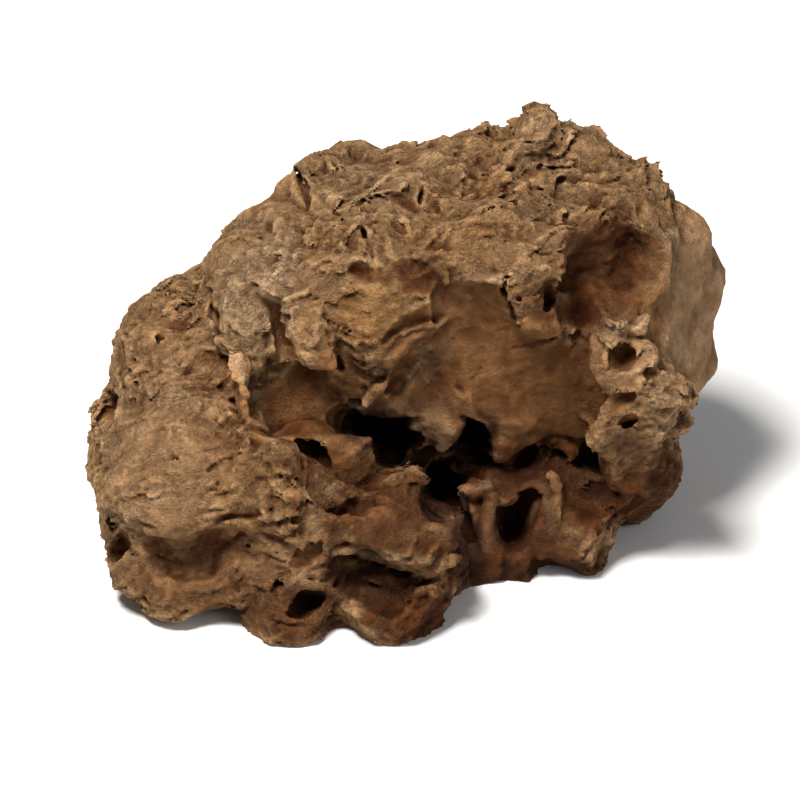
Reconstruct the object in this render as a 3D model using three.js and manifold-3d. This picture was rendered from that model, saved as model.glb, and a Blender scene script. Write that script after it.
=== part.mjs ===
// An aquarium decorative rock: one weathered, cavernous piece of limestone.
// A rough upper mass stands over a toothed mouth, a rounded lobe lies on its left,
// and smooth scooped hollows with sharp rims open in its front.
// Millimetres, +Z up, the front faces -Y, and the origin lies on the flat underside.

import * as THREE from 'three';
import { mergeVertices } from 'three/addons/utils/BufferGeometryUtils.js';
import Module from 'manifold-3d';

const wasm = await Module();
wasm.setup();

// Driving dimensions.
// The forms are placed in the frame of a viewer who looks down at the front of the rock:
// [across, up, towards the viewer], with [0, 0, 0] on the ground at the foot of the front.
const VIEW_ELEVATION = 30; // degrees above the horizon
const FRONT_FOOT_Y = -82;
const LUMP_FACET = 18; // edge length of the facets on the lumps
const HOLLOW_FACET = 15; // and in the hollows
const FEWEST_SPLITS = 1;
const ROUND = 2.3; // boxier forms than this get smaller facets, for their corners
const GROUND_BLOCK = 400;

// The whole surface is bent by these waves, so that no lump stays a plain ellipsoid.
// Each moves the points along one direction of the viewer's frame.
const WAVES = [
  { moves: 'x', height: 2.6, length: 47, along: [0.4, 0.9, 0.3], phase: 0.7 },
  { moves: 'x', height: 1.3, length: 21, along: [-0.7, 0.5, 0.6], phase: 2.1 },
  { moves: 'y', height: 2.6, length: 43, along: [0.9, -0.3, 0.4], phase: 1.9 },
  { moves: 'y', height: 1.3, length: 19, along: [0.5, 0.7, -0.5], phase: 0.4 },
  { moves: 'z', height: 2.6, length: 51, along: [-0.3, 0.5, 0.8], phase: 3.3 },
  { moves: 'z', height: 1.3, length: 23, along: [0.8, -0.2, 0.6], phase: 1.2 },
];

// The lumps that are joined: where their middles are, their half sizes, how they are turned
// in degrees about the viewer's three directions, and how boxy they are (2 is an ellipsoid).
const LUMPS = [
  // the base and the left lobe
  { name: 'left lobe, low', at: [-81, 60, -44], size: [41.5, 38.5, 53], turn: [20, 0, 0], boxy: 2.3 },
  { name: 'left lobe, bottom', at: [-84, 30, -22], size: [28, 13, 24], turn: [30, 0, 0], boxy: 2.4 },
  { name: 'left lobe, high', at: [-77, 102, -70], size: [39, 41, 53], turn: [20, 0, -12], boxy: 2.4 },
  { name: 'left lobe, middle', at: [-82, 81, -53], size: [39, 33, 53.5], turn: [20, 0, -6], boxy: 2.4 },
  { name: 'base at the back', at: [0, 92, -92], size: [92, 46, 50], turn: [30, 0, 0], boxy: 2.6 },
  { name: 'front slab', at: [-10, 54, -18], size: [36, 12, 32], turn: [24, 0, -3], boxy: 3.6 },
  { name: 'left front foot', at: [-43, 19, -16], size: [20, 20, 22], turn: [30, 0, 0], boxy: 2.3 },
  { name: 'body under the slab', at: [-18, 42, -43], size: [50, 24, 44], turn: [30, 0, 0], boxy: 2.4 },
  { name: 'right front foot', at: [-3, 20, -20], size: [22, 21, 26], turn: [30, 0, 0], boxy: 2.3 },
  { name: 'shoulder of the slab', at: [-50, 56, -24], size: [38, 34, 37], turn: [30, 0, 0], boxy: 2.3 },
  // the upper mass
  { name: 'upper mass', at: [32, 147, -50], size: [78, 35, 50], turn: [30, 0, 0], boxy: 5.5 },
  { name: 'upper left', at: [-22, 146, -52], size: [38, 35, 50], turn: [31, 0, -14], boxy: 3.6 },
  { name: 'left shell', at: [-55, 139, -48], size: [24, 40, 33], turn: [20, 0, -18], boxy: 2.2 },
  { name: 'edge of the left shell', at: [-63, 129, -24], size: [8.5, 20, 12], turn: [0, 10, -22], boxy: 2.6 },
  { name: 'second shell', at: [-36, 124, -8], size: [9.5, 17, 10], turn: [0, 0, 14], boxy: 2.6 },
  { name: 'peak', at: [58, 201, -66], size: [9.5, 17, 21], turn: [20, 0, -6], boxy: 2.0 },
  { name: 'ramp to the peak', at: [38, 192, -66], size: [28, 13, 22], turn: [20, 0, 15], boxy: 2.2 },
  { name: 'shoulder of the peak', at: [81, 182, -66], size: [24.5, 19, 25], turn: [20, 0, -35], boxy: 2.2 },
  { name: 'top knob', at: [113, 163, -56], size: [9, 9, 10], turn: [0, 0, 0], boxy: 2.2 },
  { name: 'top ridge', at: [8, 179, -65], size: [45, 21, 27.5], turn: [20, 0, -2], boxy: 2.6 },
  { name: 'right mass', at: [94, 132, -68], size: [35, 40.5, 45], turn: [10, 10, 0], boxy: 2.3 },
  { name: 'core', at: [50, 105, -66], size: [36, 30, 28], turn: [0, 0, 0], boxy: 2.4 },
  { name: 'right low', at: [90, 80, -66], size: [23, 30, 32], turn: [10, 10, 0], boxy: 2.2 },
  { name: 'knob column', at: [92, 104, -21], size: [14.5, 38, 18], turn: [26, 0, 0], boxy: 3.6 },
  // the front wall over the mouth
  { name: 'wall, left', at: [-23, 116, -24], size: [12, 26, 14], turn: [24, 0, 4], boxy: 2.4 },
  { name: 'back of the left hollow', at: [-42, 102, -44], size: [20, 30, 22], turn: [0, 0, 0], boxy: 2.4 },
  { name: 'wall, middle', at: [10, 118, -26.5], size: [28, 41, 15], turn: [30, 0, 0], boxy: 4.5 },
  { name: 'wall, right', at: [58, 119, -31], size: [30, 42, 16], turn: [30, -3, 0], boxy: 5.0 },
  // the lower right
  { name: 'wall of the mouth', at: [45, 64, -62], size: [24, 24, 18], turn: [10, 0, -8], boxy: 2.4 },
  { name: 'corner foot', at: [50, 44, -56], size: [37, 26, 24], turn: [30, 0, 4], boxy: 2.3 },
  { name: 'low knob', at: [73, 41, -47], size: [9, 7, 11], turn: [10, 0, 0], boxy: 2.2 },
];

// The hollows that are cut, in the same terms.
const HOLLOWS = [
  // the mouth and the way into the rock
  { name: 'first cavern', at: [-8.5, 81.5, -46], size: [15, 11, 44], turn: [8, -2, 0], boxy: 3.4 },
  { name: 'gap under the teeth', at: [16, 69.5, -36], size: [26, 5, 26], turn: [18, 0, 0], boxy: 2.4 },
  { name: 'second cavern', at: [28.5, 82, -40], size: [7.4, 8.5, 34], turn: [6, 0, 0], boxy: 2.4 },
  { name: 'small arch', at: [49, 75, -36], size: [4, 4.5, 20], turn: [6, 0, 0], boxy: 2.2 },
  { name: 'central hole', at: [18, 60, -44], size: [9, 9.5, 54], turn: [6, 0, 0], boxy: 2.6 },
  { name: 'crevice', at: [25, 42, -30], size: [3.8, 28, 30], turn: [0, 0, 13], boxy: 2.4 },
  { name: 'beside the pillar', at: [29, 46, -14], size: [5, 24, 20], turn: [0, 0, 8], boxy: 2.6 },
  // the large hollows
  { name: 'left hollow', at: [-43, 95, -6], size: [14.5, 18, 20], turn: [0, 0, 24], boxy: 2.8 },
  { name: 'slot over the left hollow', at: [-47.5, 124, -8], size: [4.2, 15, 20], turn: [0, 0, 12], boxy: 2.4 },
  { name: 'foot of the left hollow', at: [-34, 86, -14], size: [13, 5.5, 20], turn: [10, 0, -4], boxy: 2.4 },
  { name: 'undercut', at: [-9, 29.5, 5], size: [20, 4.2, 18], turn: [22, 0, -5], boxy: 2.6 },
  { name: 'soft undercut', at: [-13, 23, 8], size: [15, 8, 12], turn: [14, 0, -14], boxy: 2.2 },
  { name: 'round hole', at: [-36, 17, 2], size: [8, 6, 18], turn: [0, 0, 0], boxy: 2.0 },
  { name: 'right flank', at: [204, 140, 40], size: [120, 110, 110], turn: [0, 0, 0], boxy: 2.0 },
  // the left lobe
  // the lower right
  { name: 'dark pocket', at: [75, 73, -40], size: [6, 7.5, 22], turn: [0, 0, 0], boxy: 2.2 },
  { name: 'pale scoop', at: [72, 57, -32], size: [9, 11, 9], turn: [0, 0, 0], boxy: 2.0 },
  { name: 'cavity behind the pillar', at: [46.5, 46, -36], size: [8.5, 13, 20], turn: [26, 0, -8], boxy: 2.6 },
  { name: 'lowest hollow', at: [63, 25, -40], size: [14, 7, 20], turn: [0, 0, 8], boxy: 2.2 },
];

// What hangs over the mouth or stands in it, joined once the hollows are cut.
const LATER_LUMPS = [
  { name: 'first tooth', at: [10.5, 93, -36], size: [9.5, 9, 9], turn: [30, 0, -4], boxy: 2.8 },
  { name: 'tip of the first tooth', at: [15, 87, -37], size: [4.8, 12.5, 8], turn: [30, 0, 8], boxy: 2.2 },
  { name: 'second tooth', at: [40.5, 79, -41], size: [5, 7.5, 6], turn: [28, 0, 4], boxy: 2.6 },
  { name: 'flap', at: [63, 76, -41], size: [6.5, 6.5, 5], turn: [24, 0, 14], boxy: 2.6 },
  { name: 'hanging tip', at: [90, 76, -34], size: [10, 17, 9], turn: [26, 0, -8], boxy: 2.4 },
  { name: 'block in the mouth', at: [-18, 73, -12], size: [9, 9, 8], turn: [10, 20, 20], boxy: 3.6 },
  { name: 'left rim of the left hollow', at: [-58, 97, -12], size: [2.2, 20, 9], turn: [20, 0, 27], boxy: 2.6 },
  { name: 'low rim of the left hollow', at: [-38, 79.5, -18], size: [15, 3.2, 9], turn: [24, 0, -3], boxy: 2.6 },
  { name: 'pillar', at: [35.5, 43, -33], size: [4, 19, 6], turn: [20, 0, -6], boxy: 2.4 },
  { name: 'head of the pillar', at: [33.5, 62, -38], size: [6.5, 5.5, 7], turn: [20, 0, 0], boxy: 2.2 },
  { name: 'arch', at: [43, 58.5, -36], size: [6.5, 2, 5], turn: [20, 0, -24], boxy: 2.2 },
  { name: 'spine', at: [60.5, 55, -37], size: [2.2, 13, 7], turn: [20, 0, 14], boxy: 2.2 },
  { name: 'fin', at: [58.5, 38, -38], size: [3.2, 10, 6], turn: [30, 0, -25], boxy: 2.4 },
  { name: 'ring on the column', at: [88, 113, -8.5], size: [14.5, 11, 11], turn: [0, 0, 0], boxy: 2.6 },
  { name: 'ledge over the ring', at: [88, 127.5, -7], size: [11.5, 3.6, 8], turn: [10, 0, 0], boxy: 2.6 },
  { name: 'right lump', at: [104, 97, -11], size: [12, 6.5, 10], turn: [0, 0, 0], boxy: 2.4 },
  { name: 'tab', at: [55, 128, -7.5], size: [11, 6.5, 7], turn: [0, 0, -6], boxy: 2.6 },
  { name: 'end of the lip', at: [14, 32.5, -3], size: [13, 4, 8], turn: [0, 0, 0], boxy: 2.4 },
];

// What is cut last: the flat faces of the front wall, the big scoop and the small holes.
const LATER_HOLLOWS = [
  // the faces of the front wall
  { name: 'left face', at: [8, 141, 9], size: [13.5, 9, 8], turn: [46, 0, -14], boxy: 4.0 },
  { name: 'middle face', at: [31, 124, -2], size: [14, 21, 6], turn: [31, 0, 2], boxy: 6.0 },
  { name: 'right face', at: [61, 106, -12.5], size: [20, 21, 7.5], turn: [31, 0, -4], boxy: 5.0 },
  { name: 'wedge', at: [6, 126, -1], size: [11, 4.6, 6], turn: [46, 0, 20], boxy: 3.0 },
  { name: 'low wedge', at: [1, 106, -14], size: [10, 5.5, 6], turn: [44, 0, 42], boxy: 3.0 },
  { name: 'valley under the scoop', at: [71, 131, -5], size: [8, 12, 7], turn: [0, 0, -14], boxy: 2.2 },
  { name: 'wall hole', at: [60, 136, 0], size: [4.3, 6, 12], turn: [0, 0, 0], boxy: 2.2 },
  // the big scoop and the lobe
  { name: 'big scoop', at: [82, 149, 3], size: [19, 16, 18], turn: [30, 6, 0], boxy: 4.0 },
  { name: 'big scoop, upper right', at: [93, 154, -16], size: [12, 12, 14], turn: [24, 10, -10], boxy: 2.6 },
  { name: 'lobe hollow', at: [-80, 35, 7], size: [21, 9, 12], turn: [-10, 0, -3], boxy: 2.2 },
  // the small holes
  { name: 'hole in the ring', at: [88, 115, 0], size: [6.6, 6.2, 11], turn: [0, 0, 0], boxy: 2.2 },
  { name: 'three-cornered hole', at: [-31.5, 75.5, -10], size: [7.5, 3.8, 15], turn: [0, 0, -10], boxy: 2.4 },
];

const stoneMaterial = new THREE.MeshStandardMaterial({
  color: '#94704f',
  roughness: 0.95,
  metalness: 0,
});

// How far the waves move a point of the viewer's frame.
function waveShift(point) {
  const shift = new THREE.Vector3();
  for (const wave of WAVES) {
    const distance = point.dot(new THREE.Vector3(...wave.along));
    shift[wave.moves] += wave.height * Math.sin((2 * Math.PI * distance) / wave.length + wave.phase);
  }
  return shift;
}

// Turns the viewer's frame into the rock's own frame.
function viewerToRock() {
  const up = THREE.MathUtils.degToRad(90 - VIEW_ELEVATION);
  const turn = new THREE.Matrix4().makeRotationX(up);
  const shift = new THREE.Matrix4().makeTranslation(0, FRONT_FOOT_Y, 0);
  return shift.multiply(turn);
}

// A closed geometry with shared corners becomes a solid.
function toSolid(geometry) {
  geometry.deleteAttribute('normal');
  geometry.deleteAttribute('uv');
  const merged = mergeVertices(geometry);
  const mesh = new wasm.Mesh({
    numProp: 3,
    vertProperties: new Float32Array(merged.attributes.position.array),
    triVerts: new Uint32Array(merged.index.array),
  });
  return new wasm.Manifold(mesh);
}

// One rounded form: a split icosahedron pushed out to a superellipsoid, turned, placed and waved.
function roundedForm({ at, size, turn, boxy }, facet) {
  const middleSize = (size[0] + size[1] + size[2]) / 3;
  const cornered = Math.sqrt(boxy / ROUND);
  const splits = Math.max(FEWEST_SPLITS, Math.round((middleSize * cornered) / facet));
  const geometry = new THREE.IcosahedronGeometry(1, splits);
  const position = geometry.attributes.position;
  const radians = turn.map(THREE.MathUtils.degToRad);
  const turning = new THREE.Euler(...radians);
  const point = new THREE.Vector3();
  for (let i = 0; i < position.count; i += 1) {
    point.fromBufferAttribute(position, i);
    const powers = [point.x, point.y, point.z].map((part) => Math.abs(part) ** boxy);
    const radius = (powers[0] + powers[1] + powers[2]) ** (-1 / boxy);
    point.multiplyScalar(radius);
    point.multiply(new THREE.Vector3(...size));
    point.applyEuler(turning);
    point.add(new THREE.Vector3(...at));
    point.sub(waveShift(point));
    position.setXYZ(i, point.x, point.y, point.z);
  }
  geometry.applyMatrix4(viewerToRock());
  return toSolid(geometry);
}

// The block under the ground plane, which cuts the flat underside.
function groundBlock() {
  const geometry = new THREE.BoxGeometry(GROUND_BLOCK, GROUND_BLOCK, GROUND_BLOCK);
  geometry.translate(0, 0, -GROUND_BLOCK / 2);
  return toSolid(geometry);
}

function withLumps(solid, lumps) {
  let joined = solid;
  for (const lump of lumps) {
    joined = joined.add(roundedForm(lump, LUMP_FACET));
  }
  return joined;
}

function withHollows(solid, hollows) {
  let cut = solid;
  for (const hollow of hollows) {
    cut = cut.subtract(roundedForm(hollow, HOLLOW_FACET));
  }
  return cut;
}

function solidToGeometry(solid) {
  const mesh = solid.getMesh();
  const geometry = new THREE.BufferGeometry();
  geometry.setAttribute('position', new THREE.BufferAttribute(mesh.vertProperties, 3));
  geometry.setIndex(new THREE.BufferAttribute(mesh.triVerts, 1));
  geometry.computeVertexNormals();
  return geometry;
}

function stone() {
  let solid = roundedForm(LUMPS[0], LUMP_FACET);
  solid = withLumps(solid, LUMPS.slice(1));
  solid = withHollows(solid, HOLLOWS);
  solid = withLumps(solid, LATER_LUMPS);
  solid = withHollows(solid, LATER_HOLLOWS);
  solid = solid.subtract(groundBlock());
  const mesh = new THREE.Mesh(solidToGeometry(solid), stoneMaterial);
  mesh.name = 'stone';
  return mesh;
}

const rock = new THREE.Group();
rock.add(stone());

export default rock;
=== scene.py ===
"""Cavernous limestone for an aquarium: a rough crust over smooth scooped hollows, caverns and teeth.

The stone is worked out as one solid in numpy. Rounded lumps are joined and rounded hollows are cut, as in
the part's own solid, and each form carries how rough its surface is. Grain, bedding ledges and pores are
then laid into the skin, which becomes one closed mesh that stands for the node of the frame. The forms
are placed as the photograph's viewer sees them: across, up and towards, in millimetres.
"""
import math

import bpy
import numpy as np
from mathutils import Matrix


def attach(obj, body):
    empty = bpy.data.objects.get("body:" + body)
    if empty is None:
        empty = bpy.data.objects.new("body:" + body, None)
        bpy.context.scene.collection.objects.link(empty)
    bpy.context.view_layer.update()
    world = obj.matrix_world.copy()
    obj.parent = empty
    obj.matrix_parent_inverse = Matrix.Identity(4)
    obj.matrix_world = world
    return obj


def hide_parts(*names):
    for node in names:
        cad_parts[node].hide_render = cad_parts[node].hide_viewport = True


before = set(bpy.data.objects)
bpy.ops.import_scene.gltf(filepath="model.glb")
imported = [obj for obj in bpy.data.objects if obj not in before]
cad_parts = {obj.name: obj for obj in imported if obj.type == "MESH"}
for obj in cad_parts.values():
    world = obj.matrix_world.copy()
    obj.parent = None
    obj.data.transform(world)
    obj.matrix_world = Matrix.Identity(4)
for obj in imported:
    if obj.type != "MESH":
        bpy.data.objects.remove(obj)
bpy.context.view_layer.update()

bl_info = {
    "name": "Cavernous Limestone",
    "version": (1, 0, 0),
    "blender": (4, 5, 0),
    "location": "3D View > Sidebar > Stone",
    "description": "Builds a porous limestone for an aquarium, with its caverns and its crust",
    "category": "Add Mesh",
}

MM = 1000  # to the metre

# The angle by which the viewer looks down at the stone, and where along Y the stone's front foot lies.
VIEW_ELEVATION = math.radians(30)
FRONT_FOOT_Y = -82.0

# The space that is worked out: lowest and highest corner across, up and towards.
SPACE_LOW = (-134.0, -6.0, -168.0)
SPACE_HIGH = (137.0, 222.0, 30.0)
FAR_OUTSIDE = 30.0  # the distance that empty space starts with
PAST_THE_STONE = -60.0  # where the front is taken to lie when the viewer sees past the stone

# Slow waves that bend every form: the way each pushes, how far, its length, its direction and its start.
WAVES = (
    (0, 2.6, 47, (0.4, 0.9, 0.3), 0.7),
    (0, 1.3, 21, (-0.7, 0.5, 0.6), 2.1),
    (1, 2.6, 43, (0.9, -0.3, 0.4), 1.9),
    (1, 1.3, 19, (0.5, 0.7, -0.5), 0.4),
    (2, 2.6, 51, (-0.3, 0.5, 0.8), 3.3),
    (2, 1.3, 23, (0.8, -0.2, 0.6), 1.2),
)

# Random shakes after the waves: lattice step, height, and the seed for the first of the three ways. The
# finer forms are crumbled by one more, and the flat faces take only a share of the whole bend.
SHAKES = ((13, 0.8, 11), (5.5, 0.42, 14))
CRUMBLE = ((3.0, 0.45, 31),)
FLAT_FACE_BEND = 0.25

# Main lumps: middle, half sizes, turn in degrees, squareness, blend, roughness.
LUMPS = {
    "left lobe low": ((-80, 60, -44), (40, 37, 51), (20, 0, 0), 2.3, 14, 1.0),
    "lobe bottom": ((-84, 30, -22), (28, 13, 24), (30, 0, 0), 2.4, 10, 0.8),
    "left lobe high": ((-77, 102, -70), (39, 40, 52), (20, 0, -12), 2.4, 14, 1.0),
    "left lobe mid": ((-81, 80, -54), (37, 30, 52), (20, 0, -6), 2.4, 14, 1.0),
    "back base": ((0, 92, -92), (92, 46, 50), (30, 0, 0), 2.6, 12, 0.9),
    "front slab": ((-10, 54, -18), (36, 12, 32), (24, 0, -3), 3.6, 4, 0.7),
    "left foot": ((-43, 19, -16), (20, 20, 22), (30, 0, 0), 2.3, 6, 0.8),
    "body under the slab": ((-18, 42, -43), (50, 24, 44), (30, 0, 0), 2.4, 8, 0.7),
    "right foot": ((-3, 20, -20), (22, 21, 26), (30, 0, 0), 2.3, 6, 0.8),
    "slab shoulder": ((-50, 56, -24), (36, 32, 34), (30, 0, 0), 2.3, 14, 0.9),
    "upper mass": ((32, 147, -50), (78, 35, 50), (30, 0, 0), 5.5, 8, 1.0),
    "upper left": ((-22, 144, -52), (37, 34, 50), (31, 0, -14), 3.2, 8, 1.0),
    "left shell": ((-57, 138, -48), (22, 38, 32), (20, 0, -18), 2.2, 8, 0.9),
    "peak": ((56.5, 200.5, -66), (10.5, 16, 20), (20, 0, -4), 1.9, 8, 1.0),
    "peak ramp": ((44, 193.5, -66), (26, 10, 20), (20, 0, 26), 2.2, 8, 1.0),
    "peak shoulder": ((80, 182, -66), (24, 18, 24), (20, 0, -35), 2.2, 8, 0.9),
    "top knob": ((113, 163, -56), (9, 9, 10), (0, 0, 0), 2.2, 5, 0.8),
    "top ridge": ((12, 176.5, -66), (42, 19, 26), (20, 0, 3), 2.6, 8, 1.0),
    "top step": ((38, 186, -66), (14, 16, 20), (20, 0, 0), 2.2, 6, 1.0),
    "right mass": ((94, 132, -68), (34.5, 40, 44), (10, 10, 0), 2.3, 10, 0.7),
    "right low": ((90, 80, -66), (23, 30, 32), (10, 10, 0), 2.2, 8, 0.9),
    "knob column": ((92, 104, -21), (14.5, 38, 18), (26, 0, 0), 3.6, 2.5, 1.0),
    "wall left": ((-23, 116, -24), (12, 26, 14), (24, 0, 4), 2.4, 5, 0.5),
    "back of the hollow": ((-42, 102, -44), (20, 30, 22), (0, 0, 0), 2.4, 4, 0.5),
    "wall middle": ((10, 118, -26.5), (28, 41, 15), (30, 0, 0), 4.5, 3, 0.2),
    "wall right": ((58, 119, -31), (30, 42, 16), (30, -3, 0), 5.0, 3, 0.15),
    "mouth wall": ((45, 64, -62), (24, 24, 18), (10, 0, -8), 2.4, 5, 0.8),
    "corner foot": ((50, 44, -56), (37, 26, 24), (30, 0, 4), 2.3, 5, 0.8),
    "low knob": ((73, 41, -47), (9, 7, 11), (10, 0, 0), 2.2, 3, 0.8),
}

# Main hollows, in the same terms.
HOLLOWS = {
    "first cavern": ((-8.5, 82, -46), (15, 11, 44), (8, -2, 0), 3.6, 2, 0.6),
    "beside the tooth": ((1, 83, -42), (9.5, 9, 36), (8, 0, 0), 3.0, 1.5, 0.6),
    "under the teeth": ((16, 69.5, -36), (26, 5, 26), (18, 0, 0), 2.4, 2, 0.6),
    "second hole": ((27.5, 82, -40), (7.0, 8.5, 34), (6, 0, 0), 2.6, 1, 0.5),
    "small arch": ((49, 75, -36), (4, 4.5, 20), (6, 0, 0), 2.2, 1.5, 0.5),
    "central hole": ((18, 60, -44), (9, 9.5, 54), (6, 0, 0), 2.6, 2, 0.6),
    "crevice": ((27, 41, -30), (4.6, 27, 30), (0, 0, 13), 2.4, 1, 0.6),
    "beside the pillar": ((29, 46, -14), (5, 24, 20), (0, 0, 8), 2.6, 1.5, 0.4),
    "left hollow": ((-43, 95, -6), (14.5, 18, 20), (0, 0, 24), 2.8, 1.5, 0.3),
    "left slot": ((-47, 122, -6), (5.4, 17, 16), (0, 0, 12), 2.4, 1.5, 0.35),
    "foot of the hollow": ((-34, 86, -14), (13, 5.5, 12), (10, 0, -4), 2.4, 1.5, 0.3),
    "undercut": ((-9, 29, 4), (20, 4.6, 18), (22, 0, -5), 2.6, 1.2, 0.5),
    "soft undercut": ((-12, 23.5, 5), (16, 9, 14), (14, 0, -10), 2.2, 4, 0.5),
    "round hole": ((-36, 17, 0), (7.4, 5.6, 12), (0, 0, 0), 2.0, 1.2, 0.4),
    "corner hollow": ((-112, 38, -18), (5, 7, 10), (0, 0, 0), 2.0, 4, 0.4),
    "hollow over it": ((-112, 51, -20), (7, 4, 8), (0, 0, 0), 2.0, 4, 0.4),
    "edge slot": ((-116, 92, -40), (3, 8, 8), (0, 0, -20), 2.0, 4, 0.5),
    "dark pocket": ((75, 73, -40), (6, 7.5, 22), (0, 0, 0), 2.2, 2, 0.5),
    "ochre scoop": ((72, 57, -32), (9, 11, 9), (0, 0, 0), 2.0, 3, 0.5),
    "right flank": ((204, 140, 40), (120, 110, 110), (0, 0, 0), 2.0, 4, 0.3),
    "under arch": ((46.5, 46, -36), (8.5, 13, 20), (26, 0, -8), 2.6, 2, 0.4),
    "bottom black": ((63, 25, -40), (14, 7, 20), (0, 0, 8), 2.2, 1.5, 0.5),
    "notch at the right": ((104.5, 171, -56), (3, 6, 18), (0, 0, 20), 2.2, 1.5, 0.6),
}

# What hangs or lies in the mouth, joined once the hollows are cut.
HANGING = {
    "tooth one": ((11.5, 93, -36), (9, 9, 9), (30, 0, -4), 3.2, 2, 0.2),
    "tooth one tip": ((16, 86, -36), (4.8, 13, 8), (30, 0, 8), 2.4, 3, 0.2),
    "tooth two": ((39.5, 79.5, -41), (5.0, 7.0, 6), (28, 0, 4), 2.6, 3, 0.2),
    "pillar": ((35.5, 43, -33), (4.0, 19, 6), (20, 0, -6), 2.4, 2, 0.42),
    "pillar head": ((33.5, 62, -38), (6.5, 5.5, 7), (20, 0, 0), 2.2, 2, 0.42),
    "arch": ((43, 58.5, -36), (6.5, 2.0, 5), (20, 0, -24), 2.2, 1.5, 0.4),
    "web in the crevice": ((29, 25, -45), (9, 19, 8), (30, 0, 0), 2.4, 3, 0.6),
    "spine": ((60.5, 55, -37), (2.2, 13, 7), (20, 0, 14), 2.2, 2, 0.45),
    "fin": ((58.5, 38, -38), (3.2, 10, 6), (30, 0, -25), 2.4, 2, 0.45),
    "flap": ((63, 75.5, -44), (7.4, 3.4, 5), (24, 0, -30), 2.8, 2.5, 0.5),
    "rim of the hollow, left": ((-58, 97, -12), (1.8, 20, 9), (20, 0, 27), 2.6, 1.2, 0.45),
    "rim of the hollow, low": ((-37, 80.5, -16), (14, 2.2, 8), (24, 0, -3), 2.6, 2, 0.35),
    "hanging tip": ((90, 76, -34), (10, 17, 9), (26, 0, -8), 2.8, 3, 0.3),
    "block": ((-18, 72.5, -10), (9, 9.5, 8), (10, 20, 20), 4.6, 0.6, 0.45),
}

# Flat faces cut into the front: their middle is across and up, and then how far it lies in front of the
# main forms' surface there. The waves and shakes bend these far less.
FLAT_FACES = {
    "facet b": ((28.5, 119, 4.9), (16.5, 25, 6), (29, 0, 2), 6.0, 0.4, 0.1),
    "face c": ((56, 103, 6.4), (27, 24, 7.5), (31, 0, -4), 5.0, 1.2, 0.1),
    "flank face": ((164.3, 130, 57.9), (60, 42, 24), (0, -39.5, 0), 8.0, 1.5, 0.3),
}

# Finer lumps, in the same terms.
FINE_LUMPS = {
    "band high": ((5, 119, -0.4), (12, 2.2, 4), (0, 0, 33), 2.2, 2, 0.45),
    "band low": ((-9, 104, -0.4), (13, 2.4, 4), (0, 0, 44), 2.2, 2, 0.45),
    "crease": ((11.5, 109, 0.2), (0.9, 10, 2.2), (0, 0, -5), 2.2, 1.2, 0.3),
    "rim one": ((-17.6, 151, 0.4), (9.5, 1.1, 2.6), (0, 0, -8), 2.2, 0.8, 0.8),
    "rim two": ((3, 152.5, 0.4), (7.5, 1.1, 2.6), (0, 0, -16), 2.2, 0.8, 0.8),
    "rim three": ((15, 147, 0.4), (7.5, 1.1, 2.6), (0, 0, -40), 2.2, 0.8, 0.8),
    "crust boulder": ((38, 181, -1.5), (7, 5, 5), (0, 0, 8), 2.2, 1.0, 0.9),
    "tab": ((55, 127.5, -3), (11, 7.2, 7), (0, 0, -6), 3.2, 0.8, 0.35),
    "tab knob": ((64.5, 135, 0), (3.2, 3.6, 4), (0, 0, 0), 2.2, 0.6, 0.4),
    "ledge": ((88, 127.5, -5), (11.5, 3.2, 8), (10, 0, 0), 2.4, 2, 0.7),
    "ring": ((88, 113, -8), (14.5, 11, 11), (0, 0, 0), 2.4, 2, 0.6),
    "right lump": ((104, 97, -6), (12, 6.5, 10), (0, 0, 0), 2.4, 2, 1.0),
    "right lump low": ((106, 85, -6), (10, 5.5, 9), (0, 0, 0), 2.4, 1.5, 1.0),
    "tip low": ((90, 67, -2), (5.5, 8, 5), (0, 0, -6), 2.4, 2, 0.25),
    "shell edge": ((-63, 129, -6), (8.5, 20, 12), (0, 10, -22), 2.6, 2, 0.8),
    "shell low": ((-60, 115, -4), (7, 8, 8), (0, 0, 10), 2.4, 2, 0.8),
    "second shell": ((-34.5, 124, -3), (9, 17, 10), (0, 0, 14), 2.6, 2, 0.9),
    "lip knob": ((-26, 36, 0), (6, 3.4, 4), (0, 0, -6), 2.4, 1, 0.5),
    "lip edge left": ((-8, 34.5, 0.8), (14, 2.2, 4), (0, 0, -8), 2.4, 1.0, 0.8),
    "lip edge right": ((14, 32, 0.6), (12, 2.6, 4), (0, 0, 0), 2.4, 1.0, 0.8),
    "tooth below the lip": ((5, 29, 0), (3.4, 4, 4), (0, 0, 0), 2.0, 1, 0.5),
    "corner fin": ((-103.6, 30, 0), (1.6, 9, 5), (0, 0, -6), 2.2, 1.5, 0.5),
    "corner knob": ((-113, 44, 0), (3, 2.6, 4), (0, 0, 0), 2.2, 1.5, 0.5),
}

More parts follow.
